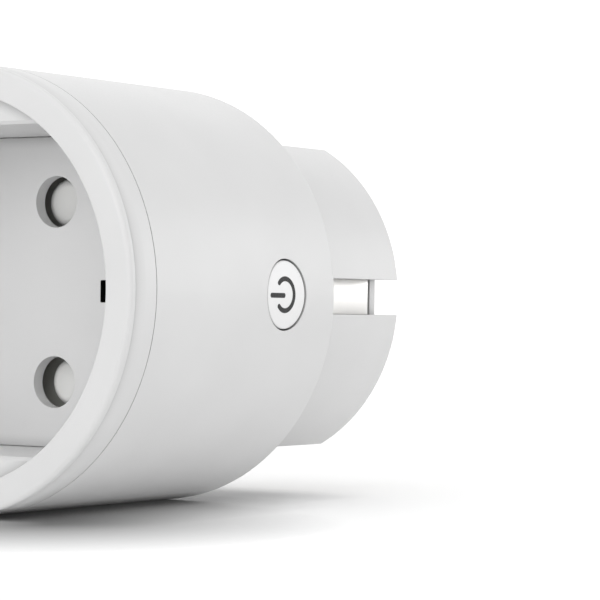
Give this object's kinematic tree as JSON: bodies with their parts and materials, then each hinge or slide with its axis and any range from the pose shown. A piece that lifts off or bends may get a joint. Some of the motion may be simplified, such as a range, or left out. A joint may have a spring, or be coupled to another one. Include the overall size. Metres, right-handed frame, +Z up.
{
  "type": "smart plug",
  "caption": "Round pass-through smart plug: recessed earthed socket in front, two-pin earthed plug boss behind, round push button on the side.",
  "frame": {"origin": "centre of the engagement face, the flat end of the rear boss that the two plug pins leave", "axes": "+Y runs out along the plug pins, -Y faces the socket well, +X is the button side, +Z is up with the two pins one above the other"},
  "size_m": [0.0454, 0.075, 0.0454],
  "materials": {
    "housing_white": "fine satin moulded texture",
    "button_white": "smooth satin with a printed power symbol",
    "shutter_grey": "smooth moulded",
    "carrier_grey": "moulded",
    "contact_brass": "stamped",
    "earth_steel": "nickel plated strip",
    "finger_nickel": "dark nickel plated spring strip",
    "pin_nickel": "nickel plated, polished",
    "board_green": "solder mask on glass laminate",
    "component_black": "moulded",
    "relay_case": "moulded",
    "shield_can": "stamped",
    "led_lens": "clear lens",
    "plunger_black": "moulded",
    "spring_steel": "drawn wire",
    "capacitor_sleeve": "shrink sleeve",
    "resistor_body": "coated",
    "varistor_blue": "dipped epoxy",
    "screw_zinc": "zinc plated"
  },
  "bodies": {
    "housing": {"front_cover": "housing_white", "socket_floor": "housing_white", "main_housing": "housing_white", "rear_base": "housing_white", "contact_carrier": "carrier_grey", "live_contact": "contact_brass", "neutral_contact": "contact_brass", "earth_clip_right": "finger_nickel", "earth_clip_left": "finger_nickel", "earth_bridge": "earth_steel", "earth_ring": "earth_steel", "earth_link": "earth_steel", "earth_strip_right": "earth_steel", "earth_strip_left": "earth_steel", "earth_sleeve": "contact_brass", "live_pin": "pin_nickel", "neutral_pin": "pin_nickel", "live_busbar": "contact_brass", "neutral_busbar": "contact_brass", "power_board": "board_green", "control_board": "board_green", "wifi_board": "board_green", "board_header": "component_black", "relay": "relay_case", "wifi_shield": "shield_can", "status_leds": "led_lens", "tact_switch": "component_black", "shutter_spring": "spring_steel", "supply_transformer": "component_black", "bulk_capacitors": "capacitor_sleeve", "inductor": "component_black", "fusible_resistor": "resistor_body", "varistor": "varistor_blue", "rectifier": "component_black", "metering_chip": "component_black", "carrier_screws": "screw_zinc", "board_screws": "screw_zinc"},
    "button": {"power_button": "button_white"},
    "plunger": {"tact_plunger": "plunger_black"},
    "shutter": {"safety_shutter": "shutter_grey"}
  },
  "joints": [
    {"name": "button_press", "type": "slide", "parent": "housing", "child": "button", "axis": [-1, 0, 0], "range_m": [0, 0.0004], "stiffness_N_per_m": 2000, "springref_m": -0.0002},
    {"name": "plunger_press", "type": "slide", "parent": "housing", "child": "plunger", "axis": [-1, 0, 0], "range_m": [0, 0.0004]},
    {"name": "shutter_turn", "type": "hinge", "parent": "housing", "child": "shutter", "pos_m": [0, -0.0351, 0], "axis": [0, -1, 0], "range_deg": [0, 30], "stiffness_Nm_per_rad": 0.004, "springref_deg": -20.05, "deforming": ["shutter_spring"]}
  ],
  "couplings": [
    {"joint": "plunger_press", "follows": "button_press", "ratio": 1}
  ]
}
